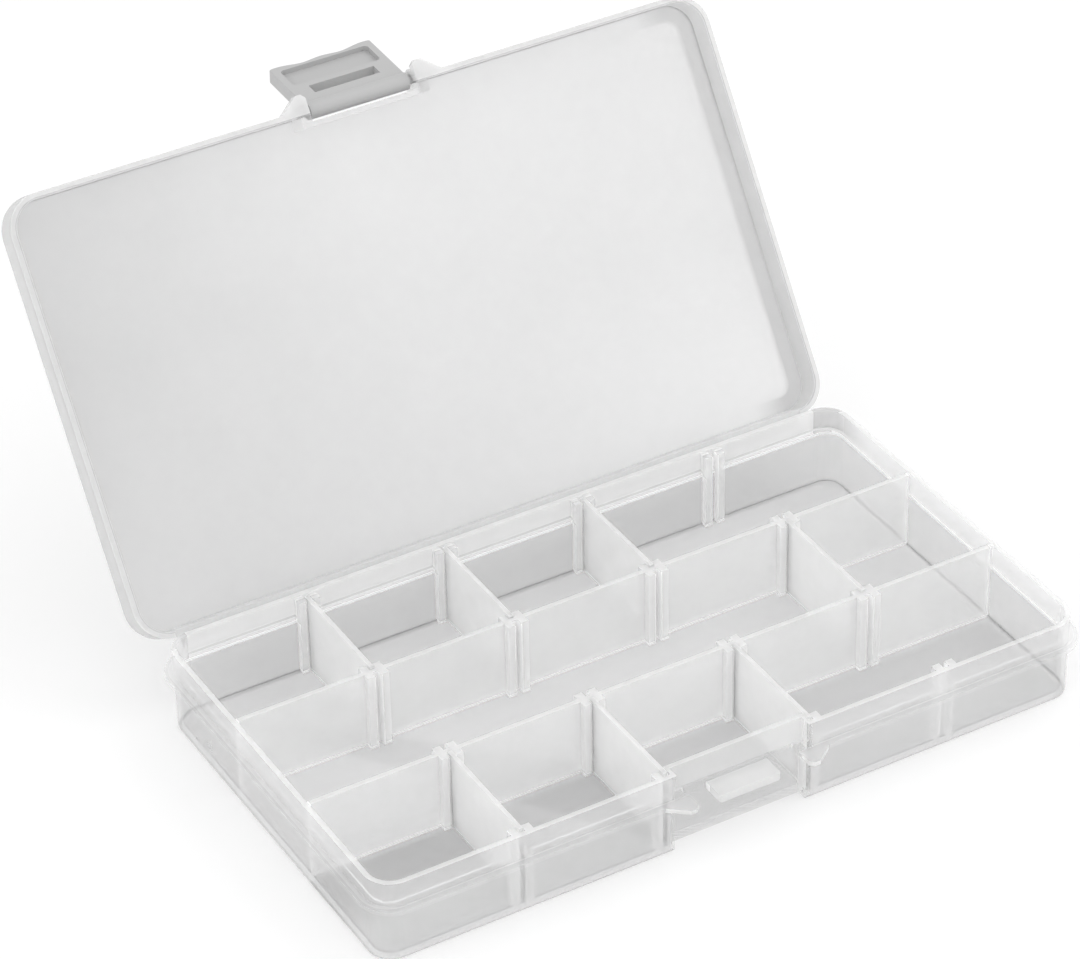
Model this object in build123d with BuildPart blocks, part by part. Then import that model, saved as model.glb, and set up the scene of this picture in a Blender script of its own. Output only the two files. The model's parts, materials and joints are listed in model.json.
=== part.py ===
"""Shallow divided organiser box: a tray with two fixed partitions, a lid on a film hinge,
a snap latch and seven loose cross dividers.

Millimetres. +X runs along the long side, +Y is the hinge side, +Z is up.
The origin is the centre of the tray's underside. Every piece is described where it sits
in the closed box, on a frame that carries it to the open position it is stored in.
"""
import os

from build123d import *

os.makedirs("parts", exist_ok=True)

# ---------- driving dimensions (mm) ----------
box_length = 175.0          # closed box, left to right
box_width = 100.0           # closed box, front to back, without the latch and hinge
corner_r = 8.0              # outer corner of the lid and of the flange
wall = 1.2                  # tray wall
floor_t = 1.2               # tray floor
bite = 0.3                  # how far an added feature sinks into the wall it grows from

# tray
flange_z = 14.7             # top of the flange, which the lid's rim rests on
flange_t = 1.0
step_side = 0.15            # the wall below the flange stands further in: left and right,
step_front = 0.75           # and front and back
bottom_fillet = 0.8

# lid
lid_depth = 7.5             # outside, from the flange up
lid_plate = 1.2
skirt_t = 1.4
lid_fillet = 0.8
skirt_gap = 0.35            # clearance, lid skirt to tray wall
seat_gap = 0.1              # clearance, lid rim to flange
top_gap = 0.5               # clearance, tray rim and dividers to the lid above them

# rows and slots
partition_t = 1.2
partition_y = 15.9          # centre of each partition, either side of the middle
partition_drop = 0.4        # from the rim down to the top of the partitions and of all ribs
slot_pitch = 34.1           # from the slots either side of the latch recess to the outer ones
rib_w = 1.9
rib_out = 1.6               # how far a rib stands out from its wall

# loose dividers, each with its row and its slot's number from the left
fitted = ("back_1", "back_2", "back_3", "middle_4", "front_1", "front_2", "front_3")
divider_t = 1.0
divider_slot_gap = 0.15     # clearance, divider to each rib of its slot
divider_side_gap = 0.2      # clearance, divider to the walls either side of its row
divider_floor_gap = 0.1     # clearance, divider to the floor
divider_corner_r = 1.0

# latch recess in the front wall, and the catch tongue on it
recess_depth = 2.9          # from the rim's outer face back to the recess wall
recess_wall = 0.8           # side walls of the recess
tongue_half = 7.4
tongue_x = 0.6              # the tongue sits a little to the right of the middle
tongue_drop = 2.1           # from the flange's top down to the tongue's top
tongue_t = 1.8
tongue_out = 0.3            # its tip, out from the front of the box
tongue_r = 0.5              # corners of the tip, seen from above

# film hinge along the back
hinge_out = 1.8             # axis, out from the back of the box
hinge_end = 0.5             # from the lands' ends to the box's curved corners
land_t = 0.9                # moulded lands either side of the film
film_r = 0.4                # round end of the tray's land, on the hinge axis
film_gap = 0.05             # clearance, round end to the lid's land

# latch, lid closed
latch_in = 0.5              # axis, in from the front of the box
latch_up = 3.7              # axis, up from the flange's top
latch_foot = 0.2            # corners of the grip edge, up from the table
latch_half = 12.75          # half the width of the plate
roll_r = 2.0
roll_in = 0.35              # ends of the roll, in from half the plate's width
pin_r = 1.0
pin_len = 2.6
pin_gap = 0.05              # clearance, pin to its bore in the lug, on the radius
pin_end_gap = 0.2           # clearance, pin to the end of its bore
latch_side_gap = 0.35       # clearance, plate to the nearer ear
latch_back = 0.9            # inner face of the plate, from the axis towards the tray
latch_t = 3.2
latch_corner_r = 0.5        # corners of the grip edge
latch_edge_r = 0.3
latch_wave = 0.75           # depth of the two dips in the grip edge
catch_above = 1.0           # clearance, slot to the tongue's top, to let the tongue in
catch_below = 0.3           # clearance, slot to the tongue's underside
catch_end_gap = 0.5         # clearance, slot to the tongue's nearer end
pocket_depth = 1.2
pocket_side = 1.75          # from the latch's sides to its pocket
pocket_above = 1.7          # from the slot to the pocket
pocket_below = 1.8          # from the pocket to the corners of the grip edge
pocket_r = 0.9

# ears either side of the latch: a pair on the tray's flange and a pair on the lid's rim
ear_out = 3.4               # how far an ear stands out from the front of the box
ear_nose = 1.0              # cut corner next to the latch
ear_tip_w = 2.3             # from the face beside the latch to the end of the flat tip
ear_foot_w = 6.6            # and to where the slope meets the front of the box
lid_ear_t = 2.0
boss_r = 2.4                # round boss in the lid that holds a latch pin
boss_len = 2.4
notch_gap = 0.4             # clearance, latch roll to the lid wall behind it
notch_wall = 1.2

# open positions the box is stored in, degrees from closed
lid_open = 124.3
latch_open = 143.5

# ---------- derived sizes ----------
lid_z = flange_z + seat_gap
lid_top_z = flange_z + lid_depth
lid_inner_z = lid_top_z - lid_plate
rim_z = lid_inner_z - top_gap
divider_z = rim_z
partition_z = rim_z - partition_drop
rim_length = box_length - 2 * (skirt_t + skirt_gap)
rim_width = box_width - 2 * (skirt_t + skirt_gap)
rim_r = corner_r - skirt_t - skirt_gap
tub_length = rim_length - 2 * step_side
tub_width = rim_width - 2 * step_front
tub_r = rim_r - step_front
tub_inner_y = tub_width / 2 - wall
rib_plane_y = tub_inner_y - rib_out
slot_w = divider_t + 2 * divider_slot_gap
hinge_y = box_width / 2 + hinge_out
hinge_z = flange_z
hinge_half = box_length / 2 - corner_r - hinge_end
latch_y = latch_in - box_width / 2
latch_z = flange_z + latch_up
latch_x = tongue_x / 2
latch_len = latch_z - latch_foot
roll_half = latch_half - roll_in
ear_face = latch_half + abs(latch_x) + latch_side_gap
ear_tip = ear_face + ear_tip_w
ear_foot = ear_face + ear_foot_w
notch_y = latch_y + roll_r + notch_gap
boss_end = ear_face + boss_len
recess_half = boss_end + skirt_gap
recess_y = recess_depth - rim_width / 2
recess_low_y = recess_y + step_front
island_half = recess_half + recess_wall
tongue_y = -box_width / 2 - tongue_out
tongue_z = flange_z - tongue_drop
catch_half = tongue_half + abs(tongue_x - latch_x) + catch_end_gap
catch_near = latch_z - tongue_z - catch_above
catch_far = latch_z - tongue_z + tongue_t + catch_below
pocket_half = latch_half - pocket_side
pocket_near = catch_far + pocket_above
pocket_far = latch_len - pocket_below
over = 10.0                 # how far a cutter runs past the material

# ---------- frames that carry closed-box coordinates to the stored position ----------
lid_turn = Location((0, hinge_y, hinge_z), (-lid_open, 0, 0))
lid_place = lid_turn * Location((0, -hinge_y, -hinge_z))
latch_turn = Location((0, latch_y, latch_z), (-latch_open, 0, 0))
latch_place = lid_place * latch_turn * Location((0, -latch_y, -latch_z))


def level(place, z):
    """A horizontal plane of the closed box, carried by `place`."""
    return Plane(place * Location((0, 0, z)))


def across(place, x, y, z):
    """A plane facing +X of the closed box: its local x is +Y and its local y is +Z."""
    return Plane(place * Plane(origin=(x, y, z), x_dir=(0, 1, 0), z_dir=(1, 0, 0)).location)


def facing(place, y, z):
    """A plane facing +Y of the closed box: its local x is +X and its local y is down."""
    return Plane(place * Plane(origin=(0, y, z), x_dir=(1, 0, 0), z_dir=(0, 1, 0)).location)


home = Location((0, 0, 0))


def ear_outline(side):
    """Corners of one ear, seen from above, on the left (-1) or the right (+1)."""
    front = -box_width / 2
    return [
        (side * ear_face, front + corner_r / 2),
        (side * ear_face, front - ear_out + ear_nose),
        (side * (ear_face + ear_nose), front - ear_out),
        (side * ear_tip, front - ear_out),
        (side * ear_foot, front),
        (side * ear_foot, front + bite),
        (side * ear_face, front + corner_r / 2),
    ]


# ---------- slot and rib positions ----------
inner_slot_x = island_half + slot_w / 2
outer_slot_x = inner_slot_x + slot_pitch
slot_x = (-outer_slot_x, -inner_slot_x, inner_slot_x, outer_slot_x)
rib_shift = (slot_w + rib_w) / 2
rib_xs = [x + side * rib_shift for x in slot_x for side in (-1, 1)]
front_rib_xs = [x for x in rib_xs if abs(x) > island_half]

# ---------- tray ----------
with BuildPart() as tray:
    # tub below the flange, with a rounded bottom edge
    with BuildSketch(level(home, 0)):
        RectangleRounded(tub_length, tub_width, tub_r)
    extrude(amount=flange_z)
    fillet(tray.faces().sort_by(Axis.Z)[0].edges(), bottom_fillet)
    # wider wall above it
    with BuildSketch(level(home, flange_z - flange_t)):
        RectangleRounded(rim_length, rim_width, rim_r)
    extrude(amount=rim_z - flange_z + flange_t)
    # flange
    with BuildSketch(level(home, flange_z - flange_t)):
        RectangleRounded(box_length, box_width, corner_r)
    extrude(amount=flange_t)
    # land of the film hinge and its round end
    with BuildSketch(level(home, flange_z - land_t)):
        with Locations((0, (rim_width / 2 + hinge_y) / 2)):
            Rectangle(2 * hinge_half, hinge_y - rim_width / 2)
    extrude(amount=land_t)
    with BuildSketch(across(home, -hinge_half, hinge_y, hinge_z)):
        Circle(film_r)
    extrude(amount=2 * hinge_half)
    # recess for the latch, a little deeper below the flange
    with BuildSketch(level(home, flange_z - flange_t)):
        with Locations((0, recess_y - over / 2)):
            Rectangle(2 * recess_half, over)
    extrude(amount=rim_z - flange_z + flange_t, mode=Mode.SUBTRACT)
    with BuildSketch(level(home, 0)):
        with Locations((0, recess_low_y - over / 2)):
            Rectangle(2 * recess_half, over)
    extrude(amount=flange_z - flange_t, mode=Mode.SUBTRACT)
    # ears that carry the flange on, either side of the latch
    with BuildSketch(level(home, flange_z - flange_t)):
        for side in (-1, 1):
            with BuildLine():
                Polyline(*ear_outline(side))
            make_face()
            with Locations((side * (ear_face + ear_foot) / 2, recess_y - recess_depth / 2)):
                Rectangle(ear_foot - ear_face, recess_depth + 2 * bite)
    extrude(amount=flange_t)
    # hollow, in two steps, leaving the wall round the recess
    with BuildSketch(level(home, floor_t)):
        RectangleRounded(tub_length - 2 * wall, tub_width - 2 * wall, tub_r - wall)
        with Locations((0, recess_low_y + wall - over / 2)):
            Rectangle(2 * island_half, over, mode=Mode.SUBTRACT)
    extrude(amount=flange_z - floor_t, mode=Mode.SUBTRACT)
    with BuildSketch(level(home, flange_z)):
        RectangleRounded(rim_length - 2 * wall, rim_width - 2 * wall, rim_r - wall)
        with Locations((0, recess_y + wall - over / 2)):
            Rectangle(2 * island_half, over, mode=Mode.SUBTRACT)
    extrude(amount=rim_z - flange_z, mode=Mode.SUBTRACT)
    # partitions between the rows
    with BuildSketch(level(home, floor_t - bite)):
        with Locations((0, partition_y), (0, -partition_y)):
            Rectangle(rim_length - 2 * wall + 2 * bite, partition_t)
    extrude(amount=partition_z - floor_t + bite)
    # ribs of the slots: both faces of each partition
    with BuildSketch(level(home, floor_t - bite)):
        for x in rib_xs:
            with Locations((x, partition_y), (x, -partition_y)):
                Rectangle(rib_w, partition_t + 2 * rib_out)
    extrude(amount=partition_z - floor_t + bite)
    # ribs of the slots: back wall and front wall
    rib_len = rim_width / 2 - wall + bite - rib_plane_y
    rib_mid = rib_plane_y + rib_len / 2
    with BuildSketch(level(home, flange_z)):
        with Locations([(x, rib_mid) for x in rib_xs]):
            Rectangle(rib_w, rib_len)
        with Locations([(x, -rib_mid) for x in front_rib_xs]):
            Rectangle(rib_w, rib_len)
    extrude(amount=partition_z - flange_z)
    low_len = rib_out + bite
    low_mid = rib_plane_y + low_len / 2
    with BuildSketch(level(home, floor_t - bite)):
        with Locations([(x, low_mid) for x in rib_xs]):
            Rectangle(rib_w, low_len)
        with Locations([(x, -low_mid) for x in front_rib_xs]):
            Rectangle(rib_w, low_len)
    extrude(amount=flange_z - floor_t + bite)
    # catch tongue on the recess wall
    with BuildSketch(level(home, tongue_z - tongue_t)):
        tongue_len = recess_low_y + bite - tongue_y
        with Locations((tongue_x, tongue_y + tongue_len / 2)):
            tongue = Rectangle(2 * tongue_half, tongue_len)
        fillet(tongue.vertices().group_by(Axis.Y)[0], tongue_r)
    extrude(amount=tongue_t)
tray.part.label = "tray"
export_step(tray.part, "parts/tray.step")

# ---------- lid ----------
with BuildPart() as lid:
    # outer block with a softened top edge
    with BuildSketch(level(lid_place, lid_z)):
        RectangleRounded(box_length, box_width, corner_r)
    extrude(amount=lid_top_z - lid_z)
    top_face = lid.faces().sort_by_distance(level(lid_place, lid_top_z).origin)[0]
    fillet(top_face.edges(), lid_fillet)
    # ears either side of the latch
    with BuildSketch(level(lid_place, lid_z)):
        for side in (-1, 1):
            with BuildLine():
                Polyline(*ear_outline(side))
            make_face()
    extrude(amount=lid_ear_t)
    # bosses for the latch pins
    for side in (-1, 1):
        with BuildSketch(across(lid_place, side * ear_face, latch_y, latch_z)):
            Circle(boss_r)
        extrude(amount=side * boss_len)
    # notch between them
    with BuildSketch(level(lid_place, lid_z)):
        with Locations((0, notch_y - over / 2)):
            Rectangle(2 * ear_face, over)
    extrude(amount=lid_top_z - lid_z, mode=Mode.SUBTRACT)
    # hollow, leaving the wall round the notch
    with BuildSketch(level(lid_place, lid_z)):
        RectangleRounded(box_length - 2 * skirt_t, box_width - 2 * skirt_t, corner_r - skirt_t)
        with Locations((0, notch_y + notch_wall - over / 2)):
            Rectangle(2 * boss_end, over, mode=Mode.SUBTRACT)
    extrude(amount=lid_inner_z - lid_z, mode=Mode.SUBTRACT)
    # bores for the latch pins
    for side in (-1, 1):
        with BuildSketch(across(lid_place, side * ear_face, latch_y, latch_z)):
            Circle(pin_r + pin_gap)
        extrude(amount=side * (roll_half + pin_len + pin_end_gap - ear_face), mode=Mode.SUBTRACT)
    # land of the film hinge
    land_end = hinge_y - film_r - film_gap
    land_start = box_width / 2 - bite
    with BuildSketch(level(lid_place, lid_z)):
        with Locations((0, (land_start + land_end) / 2)):
            Rectangle(2 * hinge_half, land_end - land_start)
    extrude(amount=land_t)
lid.part.label = "lid"
export_step(lid.part, "parts/lid.step")

# ---------- latch ----------
with BuildPart() as latch:
    # plate with a wavy grip edge
    left = latch_x - latch_half
    right = latch_x + latch_half
    with BuildSketch(facing(latch_place, latch_y + latch_back - latch_t, latch_z)):
        with BuildLine():
            Polyline((left, latch_len), (left, 0), (right, 0), (right, latch_len))
            Spline(
                (right, latch_len),
                (latch_x + latch_half * 0.7, latch_len),
                (latch_x + latch_half * 0.4, latch_len - latch_wave),
                (latch_x, latch_len - latch_wave * 0.4),
                (latch_x - latch_half * 0.4, latch_len - latch_wave),
                (latch_x - latch_half * 0.7, latch_len),
                (left, latch_len),
            )
        sheet = make_face()
        fillet(sheet.vertices().sort_by_distance((latch_x, latch_len))[:2], latch_corner_r)
    extrude(amount=latch_t)
    inner = facing(latch_place, latch_y + latch_back, latch_z - latch_len / 2)
    fillet(latch.faces().sort_by_distance(inner.origin)[0].edges(), latch_edge_r)
    # roll and stub pins on the latch axis
    with BuildSketch(across(latch_place, -roll_half, latch_y, latch_z)):
        Circle(roll_r)
    extrude(amount=2 * roll_half)
    with BuildSketch(across(latch_place, -roll_half - pin_len, latch_y, latch_z)):
        Circle(pin_r)
    extrude(amount=2 * (roll_half + pin_len))
    # slot that hooks over the tongue
    with BuildSketch(facing(latch_place, latch_y + latch_back - latch_t, latch_z)):
        with Locations((latch_x, (catch_near + catch_far) / 2)):
            Rectangle(2 * catch_half, catch_far - catch_near)
    extrude(amount=latch_t, mode=Mode.SUBTRACT)
    # shallow pocket in the inner face
    with BuildSketch(facing(latch_place, latch_y + latch_back - pocket_depth, latch_z)):
        with Locations((latch_x, (pocket_near + pocket_far) / 2)):
            RectangleRounded(2 * pocket_half, pocket_far - pocket_near, pocket_r)
    extrude(amount=pocket_depth, mode=Mode.SUBTRACT)
latch.part.label = "latch"
export_step(latch.part, "parts/latch.step")

# ---------- loose dividers ----------
outer_face = partition_y + partition_t / 2
inner_face = partition_y - partition_t / 2
rows = {
    "back": (outer_face, tub_inner_y),
    "middle": (-inner_face, inner_face),
    "front": (-tub_inner_y, -outer_face),
}
divider_low = floor_t + divider_floor_gap
divider_h = divider_z - divider_low
for row, (row_from, row_to) in rows.items():
    for number, x in enumerate(slot_x, start=1):
        name = f"{row}_{number}"
        if name not in fitted:
            continue
        with BuildPart() as divider:
            row_middle = (row_from + row_to) / 2
            with BuildSketch(across(home, x - divider_t / 2, row_middle, divider_low + divider_h / 2)):
                sheet = Rectangle(row_to - row_from - 2 * divider_side_gap, divider_h)
                fillet(sheet.vertices().group_by(Axis.Y)[0], divider_corner_r)
            extrude(amount=divider_t)
        divider.part.label = f"divider_{name}"
        export_step(divider.part, f"parts/divider_{name}.step")
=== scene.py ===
# %% [markdown]
# # A shallow divided organiser box
#
# This box holds beads and other small parts. It has four kinds of piece: a tray with two
# fixed partitions, a lid that hangs on a film hinge, a snap latch, and loose dividers that
# drop into slots. All of them are injection moulded from polypropylene. The CAD model gives
# every shape and size, so this lesson is mostly about finishes: how to make thin, hazy
# plastic look right when four or five walls of it stand one behind another.

# %% Load the CAD frame
import json
import math

import bmesh
import bpy
from mathutils import Matrix, Quaternion, Vector


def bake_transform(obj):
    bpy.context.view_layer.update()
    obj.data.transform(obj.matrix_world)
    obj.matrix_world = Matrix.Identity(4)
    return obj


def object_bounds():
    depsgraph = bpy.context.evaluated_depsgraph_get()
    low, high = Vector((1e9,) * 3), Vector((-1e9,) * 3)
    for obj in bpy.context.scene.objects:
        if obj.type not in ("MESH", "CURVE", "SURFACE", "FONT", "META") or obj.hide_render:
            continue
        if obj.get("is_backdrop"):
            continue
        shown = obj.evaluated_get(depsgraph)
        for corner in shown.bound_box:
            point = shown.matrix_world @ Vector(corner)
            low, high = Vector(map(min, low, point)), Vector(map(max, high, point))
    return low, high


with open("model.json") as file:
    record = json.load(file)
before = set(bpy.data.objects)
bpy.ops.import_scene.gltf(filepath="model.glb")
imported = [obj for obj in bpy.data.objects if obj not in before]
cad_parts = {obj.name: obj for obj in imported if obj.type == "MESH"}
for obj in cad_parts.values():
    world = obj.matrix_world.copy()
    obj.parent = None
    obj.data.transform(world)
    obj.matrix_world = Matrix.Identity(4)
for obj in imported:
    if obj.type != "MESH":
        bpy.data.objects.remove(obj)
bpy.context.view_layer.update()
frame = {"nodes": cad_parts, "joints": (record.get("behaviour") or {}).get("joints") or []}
nodes = frame["nodes"]
print("pieces from CAD:", sorted(nodes))

# %% [markdown]
# ## Measures
#
# Blender works in metres and a mould maker thinks in millimetres, so one value turns the
# one into the other. The lid is stored open. Its hinge joint says how far it has to turn to
# close, and from that comes a matrix that carries any point of the lid back to where it
# lies in the closed box. The finishes use it to tell a rim from a flat face.

# %% Measures and the closed box
MM = 0.001
hinge = next(joint for joint in frame["joints"] if joint["name"] == "lid_hinge")
hinge_point = Vector(hinge["pos_m"])
hinge_axis = Vector(hinge["axis"])
open_angle = -math.radians(hinge["range_deg"][0])
close_lid = (
    Matrix.Translation(hinge_point)
    @ Matrix.Rotation(-open_angle, 4, hinge_axis)
    @ Matrix.Translation(-hinge_point)
)
print("the lid stands open by", round(math.degrees(open_angle), 1), "degrees")
print("its hinge is at", [round(value / MM, 1) for value in hinge_point], "mm")

# %% [markdown]
# ## Colours and nodes
#
# Paint charts and screens give colours as sRGB hex values, but a shader adds up light, so it
# needs linear numbers. One function turns the one into the other. One more function adds a
# node with its settings and links, so that a finish reads as a list of what it is made of.

# %% A colour helper
def linear(hex_colour):
    """An sRGB hex colour as the linear RGBA that a shader wants."""
    channels = [int(hex_colour[i:i + 2], 16) / 255 for i in (1, 3, 5)]
    return [c / 12.92 if c <= 0.04045 else ((c + 0.055) / 1.055) ** 2.4 for c in channels] + [1]


print("mid grey #808080 is", round(linear("#808080")[0], 3), "in linear light")

# %% Node helpers
def add_node(tree, kind, inputs=None, **settings):
    """Adds a node; inputs are plain values or the sockets that feed it, by name or number."""
    node = tree.nodes.new(kind)
    for name, value in settings.items():
        setattr(node, name, value)
    for name, value in (inputs or {}).items():
        if isinstance(value, bpy.types.NodeSocket):
            tree.links.new(value, node.inputs[name])
        else:
            node.inputs[name].default_value = value
    return node


def new_material(name):
    """An empty node material, and its output node."""
    material = bpy.data.materials.new(name)
    material.use_nodes = True
    material.node_tree.nodes.clear()
    print("new material:", name)
    return material, add_node(material.node_tree, "ShaderNodeOutputMaterial")


def dress(node_name, material):
    """Puts one finish on a CAD piece."""
    mesh = nodes[node_name].data
    mesh.materials.clear()
    mesh.materials.append(material)
    print(node_name, "wears", material.name)


# %% [markdown]
# ## Natural polypropylene: where on the moulding
#
# A mould is polished where the plastic should be clear and left satin where it should be
# milky, and you look down the whole height of a wall where you meet its end. So one
# moulding shows several kinds of skin. Many skins also carry painted light and shade:
# greys for shade, whites for highlights. The shader has to know where each begins. You
# could split the mesh into material slots, but the CAD faces don't end where the skins do.
# Here the shader measures instead: it turns its own point back to the closed box, in which
# every rim is level, and reads off how far right, back and up the point lies.

# %% A moulding and its measures
class Moulding:
    """A node material, with sockets that say where in the closed box a point is."""

    def __init__(self, name, to_closed=Matrix.Identity(4)):
        self.material, self.output = new_material(name)
        self.tree = self.material.node_tree
        coordinates = add_node(self.tree, "ShaderNodeTexCoord")
        self.place = coordinates.outputs["Object"]
        point = add_node(self.tree, "ShaderNodeMapping", {
            "Vector": self.place, "Location": to_closed.to_translation(),
            "Rotation": to_closed.to_euler(),
        })
        normal = add_node(self.tree, "ShaderNodeMapping", {
            "Vector": coordinates.outputs["Normal"], "Rotation": to_closed.to_euler(),
        }, vector_type="VECTOR")
        self.size = self.absolute(point)
        self.right, self.back, _ = self.parts(point)
        self.x, self.y, self.z = self.parts(self.size)
        self.faces = self.parts(self.absolute(normal))

    def absolute(self, vector):
        """A vector without its signs, since the box is alike on both sides."""
        return add_node(
            self.tree, "ShaderNodeVectorMath", {0: vector.outputs[0]}, operation="ABSOLUTE")

    def parts(self, vector):
        """A vector's three sockets."""
        return add_node(self.tree, "ShaderNodeSeparateXYZ", {0: vector.outputs[0]}).outputs


# %% [markdown]
# ## Masks
#
# A mask is a socket that is 1 where a skin goes and 0 elsewhere. A few small rules are
# enough: a band between two measures, a ramp that fades from one measure to another, a test
# of which way a face looks, and the distance beyond a plain rectangle. That distance is the
# same all the way round a box with rounded corners, so a band of it is one wall.

# %% Bands and ramps
FAR = 100  # millimetres, further out than the box reaches


def band(value, low=-FAR, high=FAR):
    """1 where a value, in millimetres, lies in a band, else 0."""
    return add_node(value.id_data, "ShaderNodeMath", {
        0: value, 1: (low + high) / 2 * MM, 2: (high - low) / 2 * MM,
    }, operation="COMPARE").outputs[0]


def ramp(value, start, end, least=0.0):
    """Runs from the least share to 1 between two values in millimetres."""
    return add_node(value.id_data, "ShaderNodeMapRange", {
        "Value": value, "From Min": start * MM, "From Max": end * MM, "To Min": least,
    }).outputs[0]


# %% Masks that depend on others
def combine(operation, masks):
    """Folds several masks into one."""
    joined, *rest = masks
    for mask in rest:
        joined = add_node(
            mask.id_data, "ShaderNodeMath", {0: joined, 1: mask}, operation=operation).outputs[0]
    return joined


def both(*masks):
    """Where every mask holds."""
    return combine("MULTIPLY", masks)


def either(*masks):
    """Where any of the masks holds."""
    return combine("MAXIMUM", masks)


# %% Which way a face looks
STEEP = 0.6  # the least share of a face's normal that has to lie along the axis


def facing(moulding, axis, operation="GREATER_THAN"):
    """1 on faces that look along an axis of the closed box, or with LESS_THAN on the rest."""
    return add_node(moulding.tree, "ShaderNodeMath", {
        0: moulding.faces[axis], 1: STEEP}, operation=operation).outputs[0]


# %% The distance beyond a plain rectangle
def beyond(moulding, half_length, half_width):
    """How far out a point is from a rectangle, so that a rounded wall is at one distance."""
    distance = moulding.size
    for operation, other in (
            ("SUBTRACT", (half_length * MM, half_width * MM, 1.0)),
            ("MAXIMUM", (0.0, 0.0, 0.0)),
            ("LENGTH", (0.0, 0.0, 0.0))):
        distance = add_node(moulding.tree, "ShaderNodeVectorMath", {
            0: distance.outputs[0], 1: other}, operation=operation)
    return distance.outputs["Value"]


# %% [markdown]
# ## Natural polypropylene: the plastic itself
#
# Polypropylene without pigment is cloudy, because it is partly crystalline: a wall lets some
# of the light straight through and scatters the rest inside itself. You could trace that as
# a volume, but in walls of a millimetre it would be slow and grainy, and an exported model
# would lose it. Here Alpha gives the share that one skin holds back. A wall has two skins,
# so four or five walls one behind another grow whiter by themselves. Subsurface scattering
# carries the held light through to the far side, which is why a divider glows even when
# the lamp is behind it.
#
# What the eye gets: a soft satin gloss, broken by the fine spark-eroded grain of the mould,
# and a faint unevenness in the haze, a centimetre or so across, from how the melt cooled.
# The real grain is a few hundredths of a millimetre, too fine to show, so it is drawn as
# 0.6 mm.

# %% Layers of skin
def layered(skins):
    """Lays skins one over another, each a haze, a colour and a mask, and gives both results."""
    (haze, milk), _ = skins[0]
    alpha, colour = haze, linear(milk)
    for (haze, milk), mask in skins[1:]:
        alpha = add_node(
            mask.id_data, "ShaderNodeMix", {"Factor": mask, "A": alpha, "B": haze},
        ).outputs["Result"]
        colour = add_node(
            mask.id_data, "ShaderNodeMix", {"Factor": mask, "A": colour, "B": linear(milk)},
            data_type="RGBA").outputs["Result"]
    return alpha, colour


# %% Haze that is a little uneven
CLOUD = 14  # millimetres


def cooled(moulding, alpha):
    """Varies the haze by a twentieth, in clouds."""
    cloud = add_node(moulding.tree, "ShaderNodeTexNoise", {
        "Vector": moulding.place, "Scale": 1 / (CLOUD * MM), "Detail": 3.0, "Roughness": 0.55,
    })
    share = add_node(moulding.tree, "ShaderNodeMapRange", {
        "Value": cloud.outputs["Fac"], "From Min": 0.3, "From Max": 0.7,
        "To Min": 0.95, "To Max": 1.05,
    })
    return add_node(moulding.tree, "ShaderNodeMath", {
        0: alpha, 1: share.outputs[0]}, operation="MULTIPLY").outputs[0]


# %% A mould's grain
def grained(tree, place, grain, detail, strength, roughest):
    """Fine noise in a grain's size, as a roughness and as a bump."""
    noise = add_node(tree, "ShaderNodeTexNoise", {
        "Vector": place, "Scale": 1 / (grain * MM), "Detail": detail,
    })
    satin = add_node(tree, "ShaderNodeMapRange", {
        "Value": noise.outputs["Fac"], "To Min": 0.42, "To Max": roughest,
    })
    bump = add_node(tree, "ShaderNodeBump", {
        "Height": noise.outputs["Fac"], "Strength": strength, "Distance": 0.05 * MM,
    })
    return satin.outputs[0], bump.outputs[0]


# %% The satin skin
REFRACTION = 1.49  # of polypropylene


def polypropylene(moulding, skins):
    """Fills in the moulding's material: hazy, softly glossy plastic."""
    tree = moulding.tree
    alpha, colour = layered(skins)
    roughness, bump = grained(
        tree, moulding.place, grain=0.6, detail=2.0, strength=0.05, roughest=0.58)
    plastic = add_node(tree, "ShaderNodeBsdfPrincipled", {
        "Base Color": colour, "Roughness": roughness, "Normal": bump,
        "IOR": REFRACTION, "Specular IOR Level": 0.35, "Alpha": cooled(moulding, alpha),
        "Subsurface Weight": 1.0, "Subsurface Radius": (1.0, 1.0, 1.0),
        "Subsurface Scale": 4 * MM,
    })
    tree.links.new(plastic.outputs[0], moulding.output.inputs["Surface"])
    print(moulding.material.name, "has", len(skins), "kinds of skin")
    return moulding.material


# %% [markdown]
# ## The tray
#
# The tray's floor and outer walls come off a polished mould, so you see the slots' ribs
# through them. Its partitions and ribs are satin, and whiter. Painted highlights, white
# skins, light up the small radius round the bottom of every wall, the ledge where the outer
# wall steps outwards, the inside corners and the slots. The rims get a painted highlight as
# well, because there you look down into 19 mm of plastic. Each skin below is a pair: the
# share of light that it holds back, and its colour. The greys are painted shade and painted
# reflection: they stand for the dark surroundings or the white paper that the skin would
# show, since a sheet this thin has next to no colour of its own.

# %% The tray's walls and floor: haze and colour
# The greys of the tray's walls and floor are painted shade and painted reflection.
CLEAR = (0.275, "#bebebe")
# Painted shade on the right walls' inner faces.
RIGHT_WALL_SHADE = (0.285, "#aaaaaa")
OUTER = (0.275, "#cccccc")
HAZY = (0.275, "#e0e0e0")
NEAR = (0.19, "#bebebe")
NEAR_HIGH = (0.20, "#dcdcdc")
THIN = (0.15, "#c8c8c8")
MILKY = (0.28, "#ffffff")
CLEARER = (0.27, "#f0f0f0")
FLOOR = (0.275, "#bcbcbc")
# Painted shade on the floor of the front row, darkest at the front left.
FRONT_ROW_SHADE = (0.33, "#aaaaaa")
FRONT_LEFT_SHADE = (0.36, "#929292")
FAINT = (0.15, "#dcdcdc")
# Painted light on the back wall's upper band.
LIT_BACK_BAND = (0.50, "#ffffff")
# Painted shade: a thin grey line above the back ledge.
BACK_SHADE_LINE = (0.50, "#d2d2d2")
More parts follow.
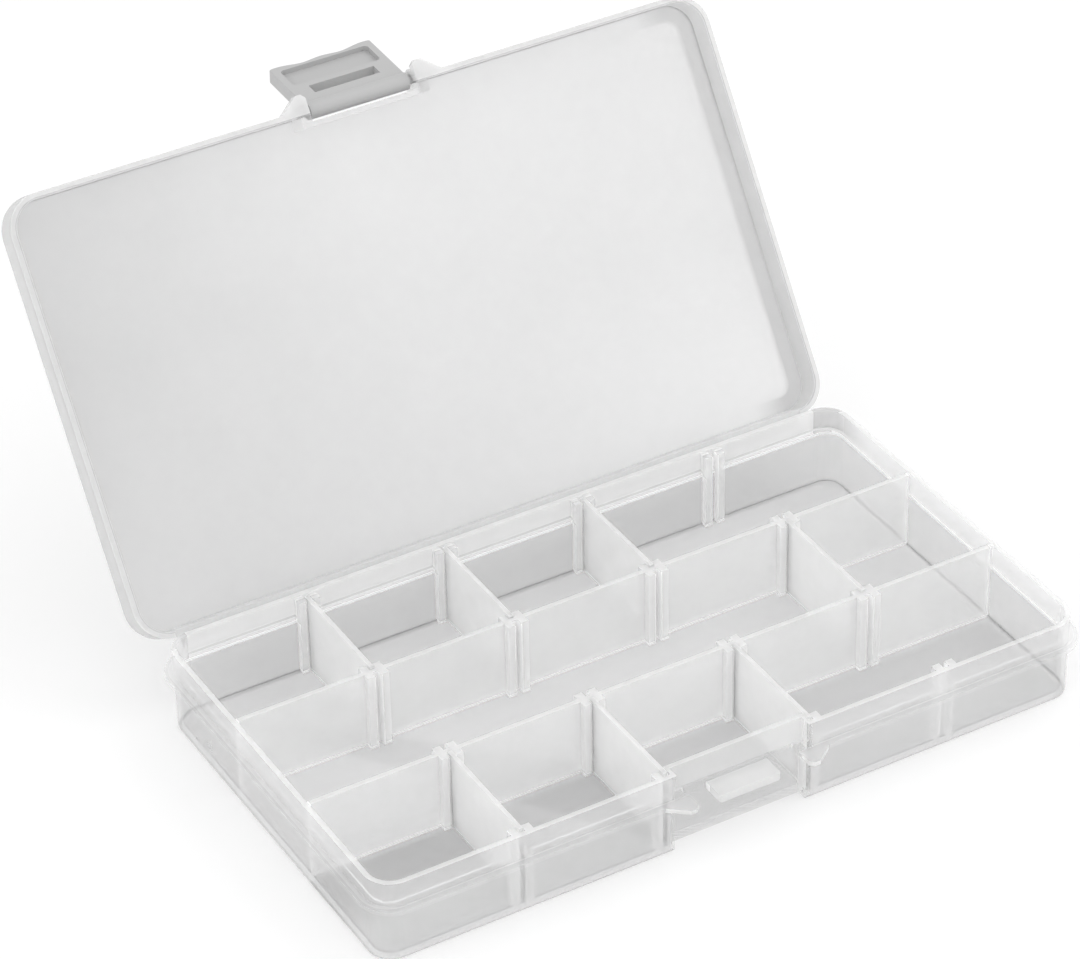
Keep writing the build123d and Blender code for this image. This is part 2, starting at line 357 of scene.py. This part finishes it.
# Painted shade in the back right corner of the upper walls.
BACK_CORNER_SHADE = (0.34, "#b0b0b0")
print("one clear wall holds back", round(1 - (1 - CLEAR[0]) ** 2, 2), "of the light")

# %% Ribs, rims and edges: haze and colour
SOLID = (0.45, "#e4e4e4")
# Painted highlight on the rims.
RIM_HIGHLIGHT = (0.52, "#f8f8f8")
RIB = (0.42, "#ffffff")
RIB_TOP = (0.30, "#f6f6f6")
# Painted light on the flanks of ribs.
LIT_FLANK = (0.70, "#ffffff")
GLINT = (0.45, "#ffffff")
# Painted highlight: a nearly opaque white skin.
WHITE_HIGHLIGHT = (0.95, "#ffffff")
SHADE = (0.52, "#8c8c8c")
print("one bright edge holds back", round(1 - (1 - WHITE_HIGHLIGHT[0]) ** 2, 2), "of the light")

# %% The tray's measures, in millimetres
PLAIN = (80.1, 42.0)  # half the rectangle that the rounded walls run round
INSIDE, OUTSIDE, FLANGE = 4.2, 5.2, 6.7  # just short of each skin, beyond the rectangle
FLOOR_TOP, LEDGE, RIM = 1.25, 14.6, 19.9  # heights
RECESS_HALF, RECESS_WALL = 17.0, -43.3  # the latch recess, in the middle of the front
PARTITION = -16.4  # just inside the front face of the front partition
SLOTS = (17.6, 51.7)  # on either side of the middle
SLOT_HALF = 0.9  # a slot and a little of its ribs
print("the tray's walls begin", PLAIN[1] + INSIDE, "mm from its middle line")

# %% Where the tray's walls are
tray = Moulding("natural_polypropylene_satin_tray")
out = beyond(tray, *PLAIN)
recess = both(band(tray.x, high=RECESS_HALF), band(tray.back, high=RECESS_WALL))
elsewhere = either(band(tray.x, RECESS_HALF), band(tray.back, RECESS_WALL))
walls = either(band(out, INSIDE), recess)
outer = either(band(out, OUTSIDE), recess)
near = both(walls, either(band(tray.back, high=-PLAIN[1]), band(tray.right, high=-PLAIN[0])))
# Painted shade: the walls' inner faces grow darker towards the right end.
shaded_right_walls = both(band(out, INSIDE, 4.6), ramp(tray.right, 0, 85))
high = both(walls, band(tray.z, LEDGE))
# Painted light: the back wall's upper band is painted whiter.
lit_back_wall = both(high, band(tray.back, PLAIN[1]))
# Painted shade: a thin grey line just above the ledge of the back wall.
back_shade_line = both(high, band(tray.z, 15.3, 15.9), ramp(tray.back, 40, 44))
# Painted shade: the upper walls grow greyer towards the back right corner.
shaded_back_corner = both(high, band(tray.right, 79.5), ramp(tray.back, 34, 44))
flange = both(band(out, FLANGE), band(tray.z, 13, 14.8))
# Painted highlight along the tops of the rims.
rims = both(facing(tray, "Z"), band(tray.z, RIM), band(tray.back, high=44))
print(len(tray.tree.nodes), "nodes find the tray's walls")

# %% Where its partitions and floor are
inner = both(band(out, high=INSIDE), band(tray.z, FLOOR_TOP))
left_front = both(inner, band(tray.back, -44, -15.8), ramp(tray.right, 20, -60))
bottom = both(facing(tray, "Z"), band(tray.z, high=FLOOR_TOP))
# Painted shade: the front row's floor darkens towards the front partition, and more so towards the
# left end.
shaded_front_row = both(bottom, band(tray.back, high=PARTITION), ramp(tray.back, -36, -26))
shaded_front_left = both(shaded_front_row, ramp(tray.right, -32, -60))
print(len(tray.tree.nodes), "nodes, with its partitions and its floor")

# %% Where the tray catches the light
tongue = both(recess, band(tray.back, high=-44.7), band(tray.z, 10.7, 12.7))
ribs = both(inner, either(band(tray.y, 13.6, 15.2), band(tray.y, 16.6, 18.2)))
# Painted light: the flanks of the outer walls' ribs are painted white, against the shade in their
# narrow grooves.
lit_flanks = both(inner, facing(tray, "X"), band(tray.y, 44.6, 46.4))
rib_tops = both(inner, band(tray.y, 44.6, 48.0), band(tray.z, LEDGE))
# Painted highlights: the slots, the feet of partitions and ribs, the inside corners and the ledge
# are painted white.
slots = both(
    inner, band(tray.z, FLOOR_TOP, 20.0),
    either(*(band(tray.x, slot - SLOT_HALF, slot + SLOT_HALF) for slot in SLOTS)))
feet = both(
    facing(tray, "Z", "LESS_THAN"), elsewhere, band(out, high=INSIDE), band(tray.z, FLOOR_TOP, 1.9))
corners = both(inner, band(tray.x, 84.0, 84.6), band(tray.y, 15, 17))
ledge = both(
    elsewhere, either(band(out, 4.25, 4.6), band(out, 5.1, 5.4)), band(tray.z, 14.25, 15.1))
wall_feet = both(band(out, 4.05, 4.35), band(tray.z, 1.0, 1.6))
ear_edges = both(
    facing(tray, "Z", "LESS_THAN"), band(tray.back, high=-50.05), band(tray.z, 13, 16))
print(len(tray.tree.nodes), "nodes, with its slots and edges")

# %% The tray's finish
dress("tray", polypropylene(tray, [
    (CLEAR, None), (MILKY, inner), (CLEARER, left_front), (CLEAR, walls), (RIGHT_WALL_SHADE, shaded_right_walls),
    (OUTER, outer), (HAZY, high), (LIT_BACK_BAND, lit_back_wall), (BACK_CORNER_SHADE, shaded_back_corner),
    (BACK_SHADE_LINE, back_shade_line), (NEAR, near), (NEAR_HIGH, both(near, high)), (THIN, recess),
    (FAINT, flange), (FLOOR, bottom), (FRONT_ROW_SHADE, shaded_front_row), (FRONT_LEFT_SHADE, shaded_front_left),
    (SOLID, tongue), (RIB, ribs), (LIT_FLANK, lit_flanks), (RIB_TOP, rib_tops), (RIM_HIGHLIGHT, rims),
    (GLINT, ear_edges), (WHITE_HIGHLIGHT, either(feet, ledge, corners, slots)), (SHADE, wall_feet)]))

# %% [markdown]
# ## The lid
#
# The lid is one flat sheet with a short skirt round it, from a mould that was polished all
# over. Its greys are painted shade, like the tray's. The sheet is seen face on and the skirt
# edge on, so the skirt gets painted shade and its rim a painted highlight. At its right end
# the sheet gets painted shade just inside the skirt too, where its inside corner gathers
# less light. The ears that carry the latch are thick, so they are whiter. Where sheet and
# skirt meet is a sharp inside corner, which gets a thin line of painted shade.

# %% The lid's skins: haze and colour
# The sheet's grey is painted shade.
SHEET = (0.28, "#c4c4c4")
# Painted shade towards the sheet's left end.
LEFT_END_SHADE = (0.31, "#a2a2a2")
# Painted light by the hinge.
LIT_BY_HINGE = (0.27, "#dadada")
# Painted shade on a strip just inside the skirt.
STRIP_SHADE = (0.36, "#acacac")
# Painted shade on the skirt; its left side and its hinge side are lighter copies.
SKIRT = (0.46, "#c0c0c0")
LEFT_SKIRT = (0.46, "#c8c8c8")
HINGE_SKIRT = (0.46, "#d0d0d0")
# Painted highlight round the lid's rim.
LID_RIM_HIGHLIGHT = (0.60, "#d4d4d4")
EAR = (0.72, "#dfdfdf")
print("the lid's sheet holds back", round(1 - (1 - SHEET[0]) ** 2, 2), "of the light")

# %% Where the lid's parts are, in millimetres in the closed box
lid = Moulding("natural_polypropylene_satin_lid", close_lid)
out = beyond(lid, 79.5, 42.0)
skirt_inside = 6.5
# Painted shade: the sheet grows darker towards its left end, away from the hinge.
shaded_left_end = both(ramp(lid.right, -5, -85), ramp(lid.back, 50, -10))
# Painted light: the sheet grows lighter towards the hinge, and more on its right.
lit_by_hinge = both(ramp(lid.back, 5, 48), ramp(lid.right, -60, 40))
# Painted shade: a strip of the sheet just inside the skirt, at its right end.
shaded_strip = both(ramp(out, 2.7, 3.3), ramp(lid.right, 72, 80), band(out, high=skirt_inside))
# The skirt, where its painted shade goes.
skirt = band(out, skirt_inside)
left_skirt = both(skirt, band(lid.right, high=-80))
hinge_skirt = both(skirt, band(lid.back, 44), band(lid.x, high=80))
# Painted highlight: the rim round the lid's skirt.
rim = both(band(out, 7.0), band(lid.z, 14.6, 15.3))
ears = both(band(lid.back, high=-48.9), band(lid.x, 12.7), ramp(lid.x, 25, 20))
ear_edges = both(
    facing(lid, "Z", "LESS_THAN"), band(lid.back, high=-50.05), band(lid.z, 14, 17))
# Painted shade: a thin dark line in the inside corner between sheet and skirt, fading towards the
# hinge.
crease = both(
    band(lid.z, 20.6, 21.4), band(out, 6.3, 6.7),
    ramp(lid.back, 40, -50, 0.05), ramp(lid.right, -86, -78, 0.3))
print(len(lid.tree.nodes), "nodes find the parts of the lid")

# %% The lid's finish
dress("lid", polypropylene(lid, [
    (SHEET, None), (LEFT_END_SHADE, shaded_left_end), (LIT_BY_HINGE, lit_by_hinge), (STRIP_SHADE, shaded_strip), (SKIRT, skirt),
    (LEFT_SKIRT, left_skirt), (LID_RIM_HIGHLIGHT, rim), (HINGE_SKIRT, hinge_skirt), (EAR, ears),
    (GLINT, ear_edges), (SHADE, crease)]))

# %% [markdown]
# ## The dividers
#
# A divider is a loose plate that drops into a pair of slots. It is satin on both sides, to
# keep it from sticking to the mould, so it is the milkiest piece. Its foot gets a painted
# highlight, like the feet of the partitions. Seven of them share one finish.

# %% The dividers' finish
PLATE = (0.60, "#ffffff")
divider = Moulding("natural_polypropylene_satin_divider")
# A painted highlight along the divider's foot.
divider_finish = polypropylene(divider, [(PLATE, None), (WHITE_HIGHLIGHT, band(divider.z, 1.0, 1.9))])
for name in sorted(nodes):
    if name.startswith("divider_"):
        dress(name, divider_finish)

# %% [markdown]
# ## The latch
#
# The latch is polypropylene too, but pigmented light grey, so no light gets through. Its
# mould is left matt, which gives the thumb some grip and hides scratches. One flat grey
# would look like card, so the same grain as before breaks its gloss, only stronger: the eye
# gets a broad, soft highlight. The grain is drawn as 0.4 mm, coarser than the real one.

# %% Grey polypropylene, matt from the mould
latch_material, output = new_material("grey_polypropylene_matt_latch")
place = add_node(latch_material.node_tree, "ShaderNodeTexCoord").outputs["Object"]
roughness, bump = grained(
    latch_material.node_tree, place, grain=0.4, detail=3.0, strength=0.2, roughest=0.6)
plastic = add_node(latch_material.node_tree, "ShaderNodeBsdfPrincipled", {
    "Base Color": linear("#b9b9b9"), "Roughness": roughness, "IOR": REFRACTION, "Normal": bump,
})
latch_material.node_tree.links.new(plastic.outputs[0], output.inputs["Surface"])
dress("latch", latch_material)

# %% [markdown]
# ## The film hinge
#
# On the real box the tray and the lid are one moulding. Between them is a film of
# polypropylene a quarter of a millimetre thick, which bends hundreds of thousands of times
# before it cracks. In CAD the two are apart, so that the lid can turn, and the film is a
# piece of this scene.

# %% Sizes of the film
film_length = 158 * MM
film_thickness = 0.25 * MM
film_middle = 0.525 * MM  # from the hinge's axis
into_tray = 0.3 * MM
into_lid = 0.65 * MM
film_turn = math.pi - open_angle
film_steps = 8
up_the_lid = Vector((0, math.cos(film_turn), math.sin(film_turn)))
print("the film turns", round(math.degrees(film_turn), 1), "degrees, the lid being open")

# %% The film's section, run into the tray's edge
film_shape = bmesh.new()
section = (
    Matrix.Translation(hinge_point + Vector((0, -into_tray, -film_middle)))
    @ Matrix.Rotation(math.radians(90), 4, "X")
    @ Matrix.Diagonal((film_length, film_thickness, 1, 1))
)
bmesh.ops.create_grid(film_shape, x_segments=1, y_segments=1, size=0.5, matrix=section)


def run_on(faces, step):
    """Extrudes the film's end by a step, and gives its new end."""
    made = bmesh.ops.extrude_face_region(film_shape, geom=faces)["geom"]
    corners = [part for part in made if isinstance(part, bmesh.types.BMVert)]
    bmesh.ops.translate(film_shape, verts=corners, vec=step)
    return [part for part in made if isinstance(part, bmesh.types.BMFace)]


film_end = run_on(film_shape.faces[:], (0, into_tray, 0))
print("the film starts", round(into_tray / MM, 2), "mm inside the tray's edge")

# %% The film's bend, and its run into the lid's edge
turned = bmesh.ops.spin(
    film_shape, geom=film_end, cent=hinge_point, axis=(1, 0, 0), angle=film_turn,
    steps=film_steps)["geom_last"]
run_on([part for part in turned if isinstance(part, bmesh.types.BMFace)], up_the_lid * into_lid)
bmesh.ops.remove_doubles(film_shape, verts=film_shape.verts[:], dist=0.001 * MM)
# The spin and the last extrusion each leave the face they began with inside the film.
inside = [
    face for face in film_shape.faces if all(len(edge.link_faces) == 3 for edge in face.edges)]
bmesh.ops.delete(film_shape, geom=inside, context="FACES_ONLY")
bmesh.ops.recalc_face_normals(film_shape, faces=film_shape.faces[:])
open_edges = sum(not edge.is_manifold for edge in film_shape.edges)
print("film:", len(film_shape.faces), "faces,", open_edges, "open edges")

# %% The film as a piece of its own
FLEXED = (0.40, "#f0f0f0")
film_mesh = bpy.data.meshes.new("hinge_film")
film_shape.to_mesh(film_mesh)
film_shape.free()
film = bpy.data.objects.new("hinge_film", film_mesh)
bpy.context.scene.collection.objects.link(film)
film_skin = Moulding("natural_polypropylene_flexed_film")
film_mesh.materials.append(polypropylene(film_skin, [(FLEXED, None)]))
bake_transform(film)

# %% [markdown]
# ## The studio: floor and lights
#
# A small hazy object is best shown on white paper under a bright, even sky. A single lamp
# would throw hard shadows through the clear walls, so the world gives most of the light.
# Three softboxes nearly a metre across add a little from the right, the left and the front,
# which is what sets one face of a wall off from the other.

# %% Paper floor
floor_mesh = bpy.data.meshes.new("studio_floor")
floor_shape = bmesh.new()
bmesh.ops.create_grid(floor_shape, x_segments=1, y_segments=1, size=4.0)
floor_shape.to_mesh(floor_mesh)
floor_shape.free()
floor = bpy.data.objects.new("studio_floor", floor_mesh)
bpy.context.scene.collection.objects.link(floor)
floor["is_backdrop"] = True
paper_material, output = new_material("pale_matt_paper_floor")
paper = add_node(paper_material.node_tree, "ShaderNodeBsdfPrincipled", {
    "Base Color": linear("#fbfbfb"), "Roughness": 0.9, "Specular IOR Level": 0.2,
})
paper_material.node_tree.links.new(paper.outputs[0], output.inputs["Surface"])
floor_mesh.materials.append(paper_material)

# %% Even sky
world = bpy.data.worlds.new("studio")
bpy.context.scene.world = world
world.use_nodes = True
sky = world.node_tree.nodes["Background"]
sky.inputs["Color"].default_value = (1, 1, 1, 1)
sky.inputs["Strength"].default_value = 0.93
print("sky strength", round(sky.inputs["Strength"].default_value, 2))

# %% Softboxes
SOFTBOX = 0.9  # metres across


def softbox(name, at, towards, power):
    """A large square soft light."""
    lamp = bpy.data.lights.new(name, "AREA")
    lamp.shape = "SQUARE"
    lamp.size = SOFTBOX
    lamp.energy = power
    light = bpy.data.objects.new(name, lamp)
    light.location = at
    light.rotation_euler = (Vector(towards) - Vector(at)).to_track_quat("-Z", "Y").to_euler()
    bpy.context.scene.collection.objects.link(light)
    print(name, power, "W")


softbox("key_softbox", (0.9, -0.1, 1.1), (0, 0.03, 0.02), 2.5)
softbox("fill_softbox", (-1.0, -0.2, 0.9), (0, 0.03, 0.02), 2)
softbox("front_softbox", (0.3, -1.2, 0.6), (0, 0.03, 0.04), 1.2)

# %% [markdown]
# ## The camera
#
# The box is seen from the front left and from above, with a long lens about a metre away,
# so its long edges hardly draw together. A constraint could aim the camera, but it would
# leave out the slight roll. So the place, the direction and the roll are plain values: the
# quaternion that points a camera along a line is turned about that line.

# %% Camera
camera_data = bpy.data.cameras.new("camera")
camera = bpy.data.objects.new("camera", camera_data)
bpy.context.scene.collection.objects.link(camera)
bpy.context.scene.camera = camera
azimuth, elevation, roll = (math.radians(angle) for angle in (29.64, 35.29, -1.26))
camera.location = (-0.39662, -0.66311, 0.60693)
looking = Vector((
    math.cos(elevation) * math.sin(azimuth),
    math.cos(elevation) * math.cos(azimuth),
    -math.sin(elevation),
))
aimed = looking.to_track_quat("-Z", "Y") @ Quaternion((0, 0, 1), roll)
camera.rotation_euler = aimed.to_euler()
camera_data.sensor_width = 36
camera_data.lens = 151.43
camera_data.clip_end = 20
print("camera", round(camera.location.length, 2), "m from the tray's middle")

# %% [markdown]
# ## Light through many skins
#
# A ray that crosses the whole box meets dozens of hazy skins. Cycles stops a ray after eight
# of them unless it is told otherwise, and then draws black spots, so the limit is raised.
# The Standard view keeps the paper white.

# %% Light paths and view
bpy.context.scene.view_settings.view_transform = "Standard"
bpy.context.scene.cycles.transparent_max_bounces = 64
print("a ray may pass", bpy.context.scene.cycles.transparent_max_bounces, "skins")

# %% Sizes and finish
visual_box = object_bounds()
sizes = [round((most - least) / MM, 1) for least, most in zip(*visual_box)]
print("the box measures", sizes, "mm with its lid open")
